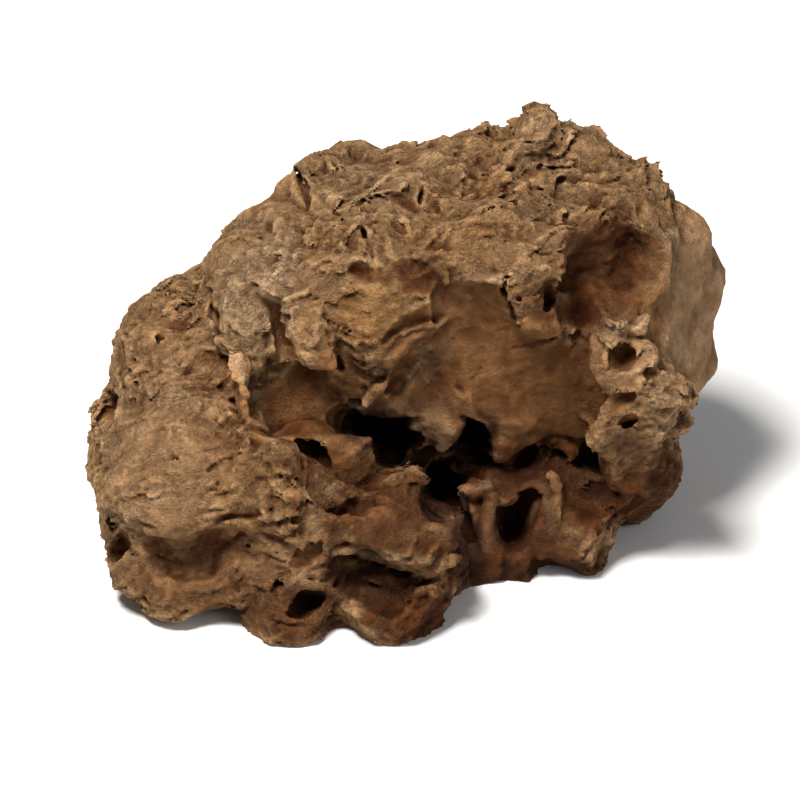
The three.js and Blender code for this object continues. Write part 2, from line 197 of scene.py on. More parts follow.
# Finer hollows, in the same terms.
FINE_HOLLOWS = {
    "facet a": ((8, 141, 6.5), (13.5, 9, 8), (46, 0, -14), 4.0, 0.4, 0.15),
    "facet a left": ((-14, 146, 4), (10, 5.5, 6), (44, 0, 0), 3.0, 1, 0.4),
    "lobe hollow": ((-76, 35, 7.9), (29, 10, 12), (-10, -14, -3), 2.6, 2.5, 0.45),
    "big scoop": ((82, 149, -2.2), (19.5, 17, 17), (30, 6, 0), 4.5, 2, 0.5),
    "scoop, upper right": ((92, 152, -7.5), (12, 12, 11), (24, 10, -10), 2.4, 5, 0.5),
    "dark wedge": ((6, 126, 2.5), (11, 4.6, 6), (46, 0, 20), 3.0, 0.5, 0.3),
    "dark wedge low": ((1, 106, 3.2), (10, 5.5, 6), (44, 0, 42), 3.0, 1.6, 0.3),
    "crevice b": ((33, 107, 0.6), (1.0, 6, 5), (0, 0, -40), 2.0, 0.6, 0.3),
    "pit b": ((27.5, 99, 0.6), (3.4, 2.4, 4), (0, 0, -30), 2.0, 1.0, 0.3),
    "column pit": ((-31, 101, 0), (2.2, 6, 5), (0, 0, 10), 2.0, 0.6, 0.4),
    "column hole": ((-25, 108, 1.6), (3.4, 4.4, 5), (0, 0, 10), 2.0, 1.0, 0.4),
    "column dot": ((-15.6, 101, 0), (2, 1.4, 4), (0, 0, 0), 2.0, 0.6, 0.4),
    "column facet": ((-19, 95, 2), (5, 5, 4), (0, 0, 20), 2.2, 0.6, 0.4),
    "scoop valley": ((71, 131, 2.4), (8, 12, 7), (0, 0, -14), 2.2, 2, 0.35),
    "knob hole": ((88, 115, 1.5), (6.6, 6.2, 7.5), (0, 0, 0), 2.2, 2.0, 0.5),
    "ring pit": ((97, 104, 1), (5, 3, 5), (0, 0, 0), 2.0, 0.8, 0.4),
    "grey facet": ((84.5, 95, 3), (6, 9, 5), (0, 0, -8), 2.2, 0.8, 0.2),
    "small hole": ((91, 87, 0), (3, 3.2, 10), (0, 0, 0), 2.0, 0.6, 0.4),
    "lump gap": ((104, 91, 1), (9, 1.4, 5), (0, 0, 4), 2.0, 0.6, 0.4),
    "crevice by the shell": ((-74, 126, 0), (2.2, 12, 10), (0, 0, 12), 2.2, 0.8, 0.5),
    "lobe pit one": ((-95, 122, 0), (3.5, 3, 4), (0, 0, 0), 2.0, 0.8, 0.6),
    "lobe ledge one": ((-80, 117, 1.5), (12, 1.6, 3), (0, 0, 12), 2.0, 1.5, 0.6),
    "lobe ledge two": ((-74, 109, 1.5), (11, 1.6, 3.2), (0, 0, 6), 2.0, 1.5, 0.6),
    "lobe ledge three": ((-84, 103, 1.5), (10, 1.4, 3), (0, 0, 14), 2.0, 1.5, 0.6),
    "lobe edge dark": ((-113, 112, 0), (3, 4, 6), (0, 0, 0), 2.0, 1, 0.5),
    "pocket": ((-52, 80, 0), (4, 4.5, 7), (0, 0, 0), 2.0, 0.8, 0.4),
    "pocket low": ((-66, 72, 0), (2, 1.6, 4), (0, 0, 0), 2.0, 0.6, 0.5),
    "dish": ((-75, 71, 1), (5, 2.6, 3), (0, 0, 10), 2.0, 0.8, 0.5),
    "diagonal pit": ((-65, 48, 1.8), (8, 2.2, 4), (0, 0, 25), 2.0, 1.5, 0.5),
    "pin hole": ((-45, 59, 0), (1.4, 1.2, 6), (0, 0, 0), 2.0, 0.5, 0.4),
    "small hollow one": ((-60, 39.5, 0), (3, 2.8, 4), (0, 0, 0), 2.0, 0.5, 0.4),
    "small hollow two": ((-47.5, 40, 0), (4, 2.6, 4), (0, 0, 0), 2.0, 0.5, 0.4),
    "narrow facet": ((-37.5, 37, 2), (6, 11, 5), (0, 0, -22), 2.1, 0.6, 0.3),
    "foot crack": ((-46, 25, 0), (4, 1.4, 6), (0, 0, -10), 2.0, 0.5, 0.4),
    "low ledge": ((-42, 10, 1), (14, 1.6, 4), (0, 0, -12), 2.0, 0.6, 0.5),
    "slab dish": ((-16, 54, 2), (14, 4, 5), (-10, 0, -4), 2.0, 4, 0.4),
    "triangle": ((-32, 75.5, 0), (8, 4, 15), (0, 0, -10), 2.4, 0.8, 0.4),
    "crust pit": ((4, 174.5, 0.2), (7, 3.4, 5), (0, 0, -8), 2.2, 0.8, 0.5),
    "crust pit two": ((11, 178, 0.2), (1.8, 4, 4), (0, 0, 10), 2.0, 0.8, 0.5),
    "crust pit three": ((30.5, 161.5, 0.4), (4, 3, 4), (0, 0, 0), 2.0, 0.8, 0.5),
    "crust pit four": ((40, 175.6, 0.4), (5.5, 1.8, 3.5), (0, 0, 10), 2.0, 0.8, 0.6),
    "crust pit five": ((19, 157, 0.4), (6, 2.4, 4), (0, 0, -25), 2.0, 0.8, 0.5),
    "crust pit six": ((18.4, 174, 0.2), (3, 1.3, 3), (0, 0, -20), 2.0, 0.6, 0.5),
    "crust slot": ((45.2, 170, 0), (1.3, 3.4, 5), (0, 0, -6), 2.0, 0.6, 0.6),
    "crust hole": ((-13, 158, 0), (2, 3.6, 9), (0, 0, 0), 2.0, 0.6, 0.5),
    "crust dot": ((-22, 168, 0), (1.6, 1.6, 5), (0, 0, 0), 2.0, 0.5, 0.5),
    "notch": ((-41, 183, 0), (2.8, 11, 34), (0, 0, 12), 2.2, 1, 0.6),
    "wall hole": ((60, 136, 0), (4.3, 6, 12), (0, 0, 0), 2.2, 0.6, 0.4),
    "wall crack": ((42.6, 134, -2), (1.5, 14, 9), (0, 0, -4), 2.2, 0.6, 0.4),
    "crack below the tab": ((53, 119.5, 0), (10, 1.2, 3), (0, 0, 6), 2.2, 1.2, 0.4),
}

# A form can change the grid this far outside its half sizes, as a factor and beyond its blend. Where two
# forms meet, roughness changes over a border. The front is read this far round a finer form's middle.
WINDOW_FACTOR, WINDOW_MARGIN = 1.02, 6
MAIN_BORDER, FINE_BORDER = 3.0, 1.2
FRONT_SPAN = 2.7

# Zones of the front where the skin is rougher or smoother than its forms say: middle across and up, half
# sizes, turn in degrees, roughness.
WORN = (
    ((-12, 130), (15, 13), 0, 0.65),
    ((-26, 104), (10, 16), 0, 0.35),
    ((-90, 72), (26, 28), 0, 0.62),
    ((118, 132), (14, 36), 0, 0.30),
    ((-8, 46), (30, 12), 0, 0.60),
    ((42, 44), (24, 22), 0, 0.50),
    ((0, 20), (30, 16), 0, 0.75),
    ((-78, 30), (34, 14), 0, 0.62),
)

# Zones of the front where the skin is calmer, in the same terms, with the share of relief that stays.
CALM = (
    ((122, 126), (20, 42), 0, 0.4),
    ((46, 44), (24, 28), 0, 0.75),
    ((26, 84), (30, 12), 0, 0.7),
    ((90, 72), (12, 14), 0, 0.65),
    ((-88, 74), (34, 34), 0, 0.8),
    ((-80, 34), (28, 12), 0, 0.7),
    ((-42, 94), (17, 20), 24, 0.7),
)

# Stains of the skin, by tone: middle across and up, half sizes, turn in degrees, strength. The red-brown
# tone is partly a stain and partly painted shade on shaded walls and under the overhangs; the dark tone is
# painted shade in the caverns, undercuts and undersides; the rim tone is pale lines painted along edges,
# partly painted highlight.
STAINS = {
    "brown": (
        ((8, 176), (14, 5), 8, 0.8), ((36, 181), (9, 6), 10, 0.6), ((30, 161), (5, 4), 0, 0.8),
        ((-22, 160), (14, 5), -10, 0.6), ((-50, 168), (12, 6), 20, 0.4), ((-78, 108), (16, 10), 10, 0.7),
        ((-92, 122), (14, 7), 20, 0.5), ((-100, 100), (10, 10), 0, 0.4), ((-68, 84), (12, 12), 0, 0.6),
        ((-80, 50), (22, 5), -6, 0.5), ((52, 186), (12, 12), 30, 0.35), ((-30, 128), (8, 10), 0, 0.35),
    ),
    "pale": (
        ((-56, 140), (15, 30), -18, 0.9), ((-92, 74), (30, 40), 0, 0.3), ((118, 134), (15, 36), 0, 0.75),
        ((90, 126), (14, 5), 0, 0.7), ((92, 112), (15, 13), 0, 0.3), ((106, 92), (11, 14), 0, 0.6),
        ((60, 200), (16, 14), 0, 0.3), ((-10, 178), (24, 10), 0, 0.35), ((8, 108), (17, 5), 38, 0.5),
        ((14, 88), (9, 11), 0, 0.45),
    ),
    "ochre": (
        ((-12, 128), (16, 14), 0, 0.8), ((72, 56), (8, 12), 0, 0.7), ((-66, 92), (30, 14), 8, 0.45),
        ((-58, 62), (22, 20), 0, 0.4), ((20, 158), (28, 12), 10, 0.4), ((104, 94), (12, 14), 0, 0.5),
        ((56, 100), (20, 22), 0, 0.4),
    ),
    # A red-brown stain in the scoops and hollows, and painted shade on the slab top, the undercut, the mouth
    # and the feet under the overhangs.
    "umber_and_shade": (
        ((84, 150), (21, 23), 0, 0.85), ((73, 134), (8, 13), 0, 1.0), ((57, 136), (9, 12), 0, 0.6),
        ((58, 102), (26, 24), 0, 0.55), ((33, 130), (12, 15), 0, 0.45), ((9, 145), (14, 8), -16, 0.9),
        ((10, 104), (26, 14), 0, 0.4), ((4, 121), (12, 5), 20, 0.6), ((-44, 96), (13, 18), 24, 0.15),
        ((-28, 108), (8, 18), 0, 0.2), ((-8, 54), (32, 16), 0, 0.85), ((-2, 37), (28, 9), 0, 0.8),
        ((-10, 23), (20, 10), -20, 1.0), ((10, 12), (26, 13), 0, 1.0), ((-42, 12), (24, 12), 0, 0.85),
        ((42, 66), (27, 14), 0, 1.0), ((45, 36), (27, 20), 0, 1.0), ((85, 93), (6, 9), 0, 0.3),
        ((88, 72), (12, 14), 0, 0.55), ((92, 54), (14, 10), 0, 1.0), ((76, 56), (11, 17), 0, 0.95),
        ((63, 75), (9, 7), 0, 1.0), ((106, 64), (9, 14), 10, 0.85), ((-80, 35), (22, 11), 0, 0.6),
        ((-76, 24), (36, 12), 0, 0.55), ((-112, 37), (7, 8), 0, 0.35), ((-58, 70), (15, 13), 0, 0.4),
        ((54, 24), (40, 10), 0, 1.0), ((-38, 84), (16, 5), 0, 0.9), ((-48, 42), (16, 12), 0, 0.35),
        ((-28, 70), (22, 9), 0, 0.85),
    ),
    # Painted shade: near-black in the caverns, the crevice, the undercut and the shadowed undersides.
    "dark": (
        ((-6, 84), (19, 12), 0, 0.9), ((30, 84), (10, 11), 0, 0.9), ((18, 57), (11, 15), 0, 0.9),
        ((27, 38), (7, 26), 13, 0.9), ((-11, 25), (18, 8), -8, 0.85), ((48, 66), (22, 8), 0, 0.45),
        ((48, 44), (14, 15), 0, 0.5), ((56, 24), (30, 8), 0, 0.8), ((76, 64), (6, 10), 0, 0.7),
        ((102, 60), (5, 9), 20, 0.3), ((-36, 18), (10, 7), 0, 0.7),
    ),
    # Pale lines along rims and edges: partly the stone's own pale edges, partly painted highlight where
    # light catches them.
    "rim": (
        ((-17.6, 151), (11, 1.2), -8, 0.4), ((3, 152.5), (9, 1.2), -16, 0.4),
        ((15, 147), (9, 1.2), -40, 0.25), ((30, 142.5), (14, 1.2), 2, 0.4), ((14.5, 134), (1.2, 10), 4, 0.4),
        ((-6, 35), (24, 1.6), -6, 0.5), ((-57, 96), (1.4, 22), 27, 0.6), ((-10, 93.5), (14, 1.3), 0, 0.5),
        ((36, 46), (3, 16), -6, 0.12), ((34, 62), (7, 2), 15, 0.35), ((60, 50), (1.2, 14), 14, 0.2),
        ((64, 73), (6, 1.4), -24, 0.12), ((6, 86), (1.3, 6), 20, 0.5), ((18, 77), (4, 1.6), -30, 0.5),
        ((38, 74), (5, 1.6), -20, 0.4), ((-49, 128), (1.2, 13), 12, 0.5),
    ),
}

# A zone or stain fades over its rim, between these shares of its half sizes, and with the distance from
# the front surface. Ripples bend its rim: share, cell and start of each.
ZONE_RIM, ZONE_REACH = (0.75, 1.2), (16, 30)
STAIN_RIM, STAIN_REACH = (0.65, 1.25), (18, 34)
STAIN_RIPPLES = ((0.35, 11, 2.3), (0.15, 4, 8.3))
WORN_BEND, WORN_STEP, WORN_SEED = 0.12, 9, 77

# Layers of the crust: the cell of each along, across and through the beds, and where its lattice starts.
SWELL = ((24, 12, 19), 61.3)
STREAKS = ((17, 3.6, 9), 43.7)
RIPPLES = ((8.0, 5.0, 7), 9.7)
SMALL_RIPPLES = ((4.4, 3.0, 3.8), 17.3)
TINY_RIDGES = ((2.9, 2.3, 2.7), 5.9)
LEDGE_WANDER = ((26, 16, 26), 29.3)
LEDGE_PATCHES = ((30, 12, 24), 51.7)
SLABS = ((16, 8, 13), 23.7)
CLODS = ((7.5, 4.6, 6.4), 3.7)
CRUMBS = ((3.9, 2.9, 3.5), 13.7)
BED_TILT = math.radians(15)
FINE_LEDGES = 0.46  # the step of the finer set of ledges, as a share of the main one's

# Layers of the worn faces, in the same terms.
WORN_SHIFTS = (((9, 9, 9), 4.1), ((9, 9, 9), 14.1), ((9, 9, 9), 24.1))
BROAD_SCOOPS = ((19, 15, 15), 2.9)
SMALL_SCOOPS = ((7.5, 6, 6), 8.9)
BROKEN_FACETS = ((6.5, 5, 5.5), 4.9)
WORN_GRAIN = ((3.6, 3.6, 3.6), 13.1)
WORN_FINE_GRAIN = ((2.1, 2.1, 2.1), 3.3)

SKIN_DEPTH = 4.5  # the relief is laid into the distances this far either side of the surface
PORE_SEED = 7
FRONT_SHARE = 0.5  # how readily the skin gives up triangles where it faces the viewer, of 1 elsewhere

# What the finish reads of the skin's form: attribute, rounds of smoothing, and its span in millimetres.
RELIEF_SCALES = (("relief", 4, 1.5), ("hollow", 40, 6.0))

# What the lights and the camera aim at, in metres, and half the floor's side.
AIM = (0.0, 0.005, 0.0606)
FLOOR_HALF = 3


class LimestoneValues(bpy.types.PropertyGroup):
    """Sizes and colours of the stone"""
    grain_edge: bpy.props.FloatProperty(
        name="Grain edge", description="Edge of the smallest cube that the skin is worked out in",
        default=0.001, min=0.0006, max=0.004, unit="LENGTH")
    crust_height: bpy.props.FloatProperty(
        name="Crust height", description="Height of the broad bumps of the crust",
        default=0.0018, min=0.0, max=0.006, unit="LENGTH")
    ledge_height: bpy.props.FloatProperty(
        name="Ledge height", description="Height of the ledges along the bedding",
        default=0.0015, min=0.0, max=0.005, unit="LENGTH")
    ledge_step: bpy.props.FloatProperty(
        name="Ledge step", description="Distance from one ledge of the bedding to the next",
        default=0.0085, min=0.003, max=0.03, unit="LENGTH")
    pore_count: bpy.props.IntProperty(
        name="Pores", description="Number of open pores in the crust", default=750, min=0, max=8000)
    pore_radius: bpy.props.FloatProperty(
        name="Pore radius", description="Radius of the widest pores",
        default=0.0016, min=0.0008, max=0.008, unit="LENGTH")
    triangle_limit: bpy.props.IntProperty(
        name="Triangles", description="Most triangles that the finished skin may have",
        default=192000, min=20000, max=199000)
    crust_colour: bpy.props.FloatVectorProperty(
        name="Crust", description="Tan of the dry crust", subtype="COLOR",
        default=(0.196, 0.108, 0.048), min=0, max=1)
    # The cream also makes the pale lines along the rims, partly a painted highlight.
    pale_colour: bpy.props.FloatVectorProperty(
        name="Pale rims", description="Cream of the worn rims and shells", subtype="COLOR",
        default=(0.275, 0.183, 0.105), min=0, max=1)
    ochre_colour: bpy.props.FloatVectorProperty(
        name="Ochre", description="Yellow-brown of the iron-stained patches", subtype="COLOR",
        default=(0.205, 0.104, 0.035), min=0, max=1)
    brown_colour: bpy.props.FloatVectorProperty(
        name="Worn faces", description="Brown of the smooth faces where the crust has gone", subtype="COLOR",
        default=(0.185, 0.085, 0.031), min=0, max=1)
    # This red-brown is also painted as shade on shaded walls, the undercut and under the overhangs.
    umber_and_shade_colour: bpy.props.FloatVectorProperty(
        name="Umber", description="Red-brown of the smooth hollows", subtype="COLOR",
        default=(0.060, 0.0200, 0.0058), min=0, max=1)
    # The pit colour is also the painted shade: in low places of the skin, under the small ledges' lips, and
    # in the caverns and undersides.
    pit_and_shade_colour: bpy.props.FloatVectorProperty(
        name="Pits", description="Dark brown in the bottom of pores and cracks", subtype="COLOR",
        default=(0.030, 0.012, 0.006), min=0, max=1)


class StageValues(bpy.types.PropertyGroup):
    """Floor, light and camera"""
    floor_colour: bpy.props.FloatVectorProperty(
        name="Floor", description="Colour of the plain floor", subtype="COLOR",
        default=(0.86, 0.86, 0.85), min=0, max=1)
    key_power: bpy.props.FloatProperty(
        name="Key light", description="Power of the soft light from the upper left",
        default=46.0, min=0, unit="POWER")
    fill_power: bpy.props.FloatProperty(
        name="Fill light", description="Power of the soft light from the front right",
        default=9.0, min=0, unit="POWER")
    sky_strength: bpy.props.FloatProperty(
        name="Sky", description="Strength of the even light from all round", default=0.17, min=0)
    lens: bpy.props.FloatProperty(
        name="Lens", description="Focal length of the camera", default=250.0, min=50, max=400, unit="CAMERA")
    width: bpy.props.FloatProperty(
        name="View width", description="Width that the camera takes in at the stone",
        default=0.320, min=0.1, max=1.0, unit="LENGTH")


def turned(degrees):
    """The turn about X, then Y, then Z as one matrix: the product of the three plain rotation matrices."""
    x, y, z = np.radians(degrees)
    about_x = np.array([[1, 0, 0], [0, np.cos(x), -np.sin(x)], [0, np.sin(x), np.cos(x)]])
    about_y = np.array([[np.cos(y), 0, np.sin(y)], [0, 1, 0], [-np.sin(y), 0, np.cos(y)]])
    about_z = np.array([[np.cos(z), -np.sin(z), 0], [np.sin(z), np.cos(z), 0], [0, 0, 1]])
    return about_x @ about_y @ about_z


def to_rock(points):
    """Places as the viewer sees them, in mm, as places in the stone's own frame, in metres: a tilt back by
    60 degrees about the X axis, then a shift to the front foot."""
    sine, cosine = math.sin(VIEW_ELEVATION), math.cos(VIEW_ELEVATION)
    across, up, towards = points.T
    height = cosine * up + sine * towards
    return np.stack([across, FRONT_FOOT_Y + sine * up - cosine * towards, height], 1) / MM


def bent(across, up, towards):
    """Every place moved by the slow waves: each adds its height times the sine of the way along it."""
    place = [across, up, towards]
    moved = [across.copy(), up.copy(), towards.copy()]
    for axis, height, length, along, start in WAVES:
        way = sum(part * step for part, step in zip(place, along)) * (2 * math.pi / length) + start
        moved[axis] += height * np.sin(way)
    return moved


def form_distance(place, middle, size, turn, squareness):
    """About how far each place lies outside a rounded form, negative inside. With the place turned into
    the form's own axes and divided by its half sizes, n is the p-norm of the three, p being the
    squareness, and the distance is n - 1 divided by the slope of n there."""
    axes = turned(turn)
    own = [np.abs(sum(axes[j, i] * (place[j] - middle[j]) for j in range(3)) / size[i]) for i in range(3)]
    norm = (own[0] ** squareness + own[1] ** squareness + own[2] ** squareness) ** (1 / squareness)
    norm = np.maximum(norm, 1e-3)
    slope = np.sqrt(sum((own[i] ** (squareness - 1) / size[i]) ** 2 for i in range(3)))
    return (norm - 1) / np.maximum(slope * norm ** (1 - squareness), 1e-6)


def rounded_least(first, second, blend):
    """The lesser of two distances, rounded where they meet: with h the part of the blend by which they are
    nearer than it, a quarter of the blend times h squared is taken off."""
    near = np.maximum(blend - np.abs(first - second), 0) / blend
    return np.minimum(first, second) - near * near * blend * 0.25


def spread_weights(count, edge, step):
    """How much each point along one axis takes from each of a row of random numbers a step apart: cubic
    B-spline weights, 2/3 - d^2 + d^3 / 2 within one step of distance d, and (2 - d)^3 / 6 within two."""
    numbers = np.arange(int(count * edge / step) + 5) - 2
    d = np.abs(np.arange(count)[:, None] * edge / step - numbers)
    outer = np.where(d < 2, (2 - d) ** 3 / 6, 0)
    return np.where(d < 1, 2 / 3 - d ** 2 + d ** 3 / 2, outer).astype(np.float32)


def wander(shape, edge, step, height, seed):
    """A slow random shift at every point of the grid: random numbers on a coarse lattice, blended along
    each axis in turn. The blend flattens them, which the factor of 1.8 makes good."""
    weights = [spread_weights(count, edge, step) for count in shape]
    lattice = np.random.default_rng(seed).normal(size=[w.shape[1] for w in weights]).astype(np.float32)
    for weight in weights:
        lattice = np.tensordot(lattice, weight, axes=(0, 1))
    return lattice * np.float32(height * 1.8)


class Solid:
    """The stone on an even grid: how far out of it each point lies, and the nearest form's roughness."""

    def __init__(self, edge):
        self.edge = edge
        ends = zip(SPACE_LOW, SPACE_HIGH)
        self.axes = [np.arange(low, high, edge, dtype=np.float32) for low, high in ends]
        self.place = np.meshgrid(*self.axes, indexing="ij")
        self.bent = self.shaken(bent(*self.place), SHAKES)
        both = zip(self.place, self.bent)
        self.straight = [axis + FLAT_FACE_BEND * (moved - axis) for axis, moved in both]
        self.crumbled = self.shaken(self.bent, CRUMBLE)
        self.distance = np.full(self.place[0].shape, FAR_OUTSIDE, np.float32)
        self.rough = np.ones(self.place[0].shape, np.float32)

    def shaken(self, place, shakes):
        """The places with each of these random shakes added, along each of the three ways."""
        moved = list(place)
        for step, height, seed in shakes:
            for way in range(3):
                moved[way] = moved[way] + wander(moved[way].shape, self.edge, step, height, seed + way)
        return moved

    def window(self, middle, size, turn, margin):
        """The part of the grid that a form can change: its turned half sizes and the margin round it."""
        reach = np.abs(turned(turn)) @ np.array(size) * WINDOW_FACTOR + margin
        spans = []
        for axis in range(3):
            first = int((middle[axis] - reach[axis] - SPACE_LOW[axis]) / self.edge)
            last = int((middle[axis] + reach[axis] - SPACE_LOW[axis]) / self.edge) + 2
            spans.append(slice(max(0, first), max(0, last)))
        return tuple(spans)

    def change(self, place, middle, size, turn, squareness, blend, rough, cut, border):
        """Joins a lump, or cuts a hollow, its distance being taken at these bent places. The roughness
        goes over to the form's own within this border of the line where the two distances are the same."""
        part = self.window(middle, size, turn, blend + WINDOW_MARGIN)
        held = self.distance[part]
        form = form_distance([axis[part] for axis in place], middle, size, turn, squareness)
        new = -rounded_least(-held, form, blend) if cut else rounded_least(held, form, blend)
        lead = (-form - held) if cut else (held - form)
        share = np.clip(0.5 + lead / border, 0, 1)
        self.rough[part] += share * (rough - self.rough[part])
        self.distance[part] = new

    def front(self):
        """How far towards the viewer the first surface lies, over across and up."""
        inside = (self.distance < 0)[:, :, ::-1]
        depth = self.axes[2][len(self.axes[2]) - 1 - inside.argmax(2)]
        return np.where(inside.any(2), depth, PAST_THE_STONE)

    def front_at(self, front, across, up):
        """The middle value of that surface over a few millimetres round one place."""
        i = min(int(round((across - SPACE_LOW[0]) / self.edge)), front.shape[0] - 1)
        j = min(int(round((up - SPACE_LOW[1]) / self.edge)), front.shape[1] - 1)
        span = max(1, int(round(FRONT_SPAN / self.edge)))
        return float(np.median(front[i - span:i + span + 1, j - span:j + span + 1]))


# A shuffled row of numbers that every lattice corner is looked up in, and what it finds there: a random
# lean of length one, and a random place within a cell.
LATTICE = np.random.default_rng(41)
SHUFFLE = np.concatenate([LATTICE.permutation(256)] * 3).astype(np.int32)
LEANS = LATTICE.normal(size=(256, 3)).astype(np.float32)
LEANS /= np.linalg.norm(LEANS, axis=1, keepdims=True)
SCATTER = LATTICE.random((256, 3)).astype(np.float32)


def lattice_cells(place, cell, start):
    """Which cell of a lattice each place is in, and how far along the cell it lies, 0 to 1 each way."""
    scaled = [axis / step + start for axis, step in zip(place, cell)]
    whole = [np.floor(axis).astype(np.int32) for axis in scaled]
    return whole, [(axis - low).astype(np.float32) for axis, low in zip(scaled, whole)]


def ripple(place, cell, start):
    """Smooth random relief, about -1 to 1. Every corner of a lattice of this cell has a random lean, the
    leans of the eight corners round a place are each multiplied by the way from that corner, and the
    quintic fade blends them."""
    whole, rest = lattice_cells(place, cell, start)
    fade = [r * r * r * (r * (r * 6 - 15) + 10) for r in rest]
    whole = [low & 255 for low in whole]
    total = np.zeros_like(rest[0])
    for i in (0, 1):
        row = SHUFFLE[whole[0] + i]
        for j in (0, 1):
            column = SHUFFLE[row + whole[1] + j]
            for k in (0, 1):
                lean = LEANS[SHUFFLE[column + whole[2] + k]]
                slope = lean[:, 0] * (rest[0] - i) + lean[:, 1] * (rest[1] - j) + lean[:, 2] * (rest[2] - k)
                weight = (fade[0] if i else 1 - fade[0]) * (fade[1] if j else 1 - fade[1])
                total += slope * weight * (fade[2] if k else 1 - fade[2])
    return total * 1.8


def pebbles(place, cell, start):
    """How near each place is to the nearest of scattered points, one in every cell of a lattice: 1 at a
    point, 0 at the creases half way between. With it comes the level of a broken facet, about -1 to 1:
    that point's own random height, and its own random lean times the way from it."""
    whole, rest = lattice_cells(place, cell, start)
    nearest = np.full(len(rest[0]), 9.0, np.float32)
    level = np.zeros(len(rest[0]), np.float32)
    for i in (-1, 0, 1):
        row = SHUFFLE[(whole[0] + i) & 255]
        for j in (-1, 0, 1):
            column = SHUFFLE[row + ((whole[1] + j) & 255)]
            for k in (-1, 0, 1):
                picked = SHUFFLE[column + ((whole[2] + k) & 255)]
                offset, lean = SCATTER[picked], LEANS[picked]
                way = [rest[a] - (i, j, k)[a] - offset[:, a] for a in range(3)]
                away = way[0] ** 2 + way[1] ** 2 + way[2] ** 2
                closer = away < nearest
                facet = 0.8 * lean[:, 0] + lean[:, 1] * way[0] + lean[:, 2] * way[1] + lean[:, 0] * way[2]
                level[closer] = facet[closer]
                nearest[closer] = away[closer]
    return 1 - np.sqrt(nearest) / 0.75, level


def ridges(place, layer, sharpness):
    """Sharp crests: one, less this many times the size of a ripple."""
    return 1 - sharpness * np.abs(ripple(place, *layer))


def smooth_step(low, high, value):
    """0 below low, 1 above high, and the cubic 3t^2 - 2t^3 between."""
    t = np.clip((value - low) / (high - low), 0, 1)
    return t * t * (3 - 2 * t)


def inside_zone(across, up, middle, size, turn, rim, bend=0):
    """1 inside an ellipse, 0 outside: how far out a place lies is the length of its way along each axis over
    that half size, and the smooth step takes it over the rim, which is bent by this much."""
    angle = math.radians(turn)
    x, y = across - middle[0], up - middle[1]
    along = (x * math.cos(angle) + y * math.sin(angle)) / size[0]
    over = (y * math.cos(angle) - x * math.sin(angle)) / size[1]
    return 1 - smooth_step(*rim, np.sqrt(along ** 2 + over ** 2) + bend)


def bedding(place):
    """The stone's beds, which rise to the right: how far along them and across them each place lies."""
    along = place[0] * np.cos(BED_TILT) + place[1] * np.sin(BED_TILT)
    across = place[1] * np.cos(BED_TILT) - place[0] * np.sin(BED_TILT) + 0.3 * place[2]
    return along, across, place[2]


def bed_ledges(beds, values, middle, small):
    """The ledges of the bedding, about -0.5 to 0.5, in a main and a finer set: each juts out within 0.15
    of its step and draws back over the rest. They wander, and fade out in patches."""
    wave = ripple(beds, *LEDGE_WANDER)
    ledges = 0
    for share, step, way in ((1.0, 1.0, wave), (0.5, FINE_LEDGES, 1.6 * wave + 0.4 * middle)):
        rise = beds[1] / (values.ledge_step * (step * MM)) + 1.1 * way + 0.3 * middle + 0.15 * small
        rise -= np.floor(rise)
        ledges += share * (np.where(rise < 0.15, rise / 0.15, (1 - rise) / 0.85) - 0.5)
    return ledges * smooth_step(-0.35, 0.25, ripple(beds, *LEDGE_PATCHES))


def crust_relief(place, values):
    """How far the crust stands out, in mm: broad ridges, middle and small ripples, pebbles and broken
    facets at three sizes and fine streaks, each by its share, and the ledges of the bedding."""
    beds = bedding(place)
    middle, small = ripple(beds, *RIPPLES), ripple(beds, *SMALL_RIPPLES)
    loose = [axis + 0.9 * middle + 0.6 * small for axis in beds]
    clods, chunks = pebbles(loose, *CLODS)
    crumbs, chips = pebbles(loose, *CRUMBS)
    layers = (
        (0.5, ridges(beds, SWELL, 2.2)), (0.5, pebbles(loose, *SLABS)[1]), (0.35, middle), (0.3, small),
        (0.25, ridges(beds, TINY_RIDGES, 2.8)), (0.2, clods), (0.38, chunks), (0.2, crumbs), (0.26, chips),
        (0.25, ridges(beds, STREAKS, 2.6)),
    )
    bumps = sum(share * layer for share, layer in layers)
    ledges = bed_ledges(beds, values, middle, small)
    return values.crust_height * MM * bumps + values.ledge_height * MM * ledges


def worn_relief(place):
    """How far a worn face stands out, in mm: shallow scoops that meet in edges (the square of the distance
    from scattered points) at two sizes, broken facets and a little grain."""
    loose = [axis + 2.2 * ripple(place, *shift) for axis, shift in zip(place, WORN_SHIFTS)]
    broad, small = ((1 - pebbles(loose, *scoops)[0]) ** 2 for scoops in (BROAD_SCOOPS, SMALL_SCOOPS))
    facets = pebbles(loose, *BROKEN_FACETS)[1]
    grain = 0.34 * ripple(place, *WORN_GRAIN) + 0.26 * ripple(place, *WORN_FINE_GRAIN)
    return 0.5 * (broad - 0.6) + 0.35 * (small - 0.6) + 0.3 * facets + grain


def wear(solid, front):
    """Takes the roughness near the front surface to each worn zone's own, within a wandering rim."""
    across, up = np.meshgrid(solid.axes[0], solid.axes[1], indexing="ij")
    bend = WORN_BEND * wander(across.shape + (1,), solid.edge, WORN_STEP, 1.0, WORN_SEED)[:, :, 0]
    for middle, size, turn, rough in WORN:
        inner = inside_zone(across, up, middle, size, turn, ZONE_RIM, bend)
        rows, columns = np.flatnonzero(inner.any(1)), np.flatnonzero(inner.any(0))
        part = (slice(rows[0], rows[-1] + 1), slice(columns[0], columns[-1] + 1))
        away = np.abs(solid.axes[2][None, None, :] - front[part][:, :, None])
        held = solid.rough[part]
        share = inner[part][:, :, None] * (1 - smooth_step(*ZONE_REACH, away))
        held += (share * (rough - held)).astype(np.float32)


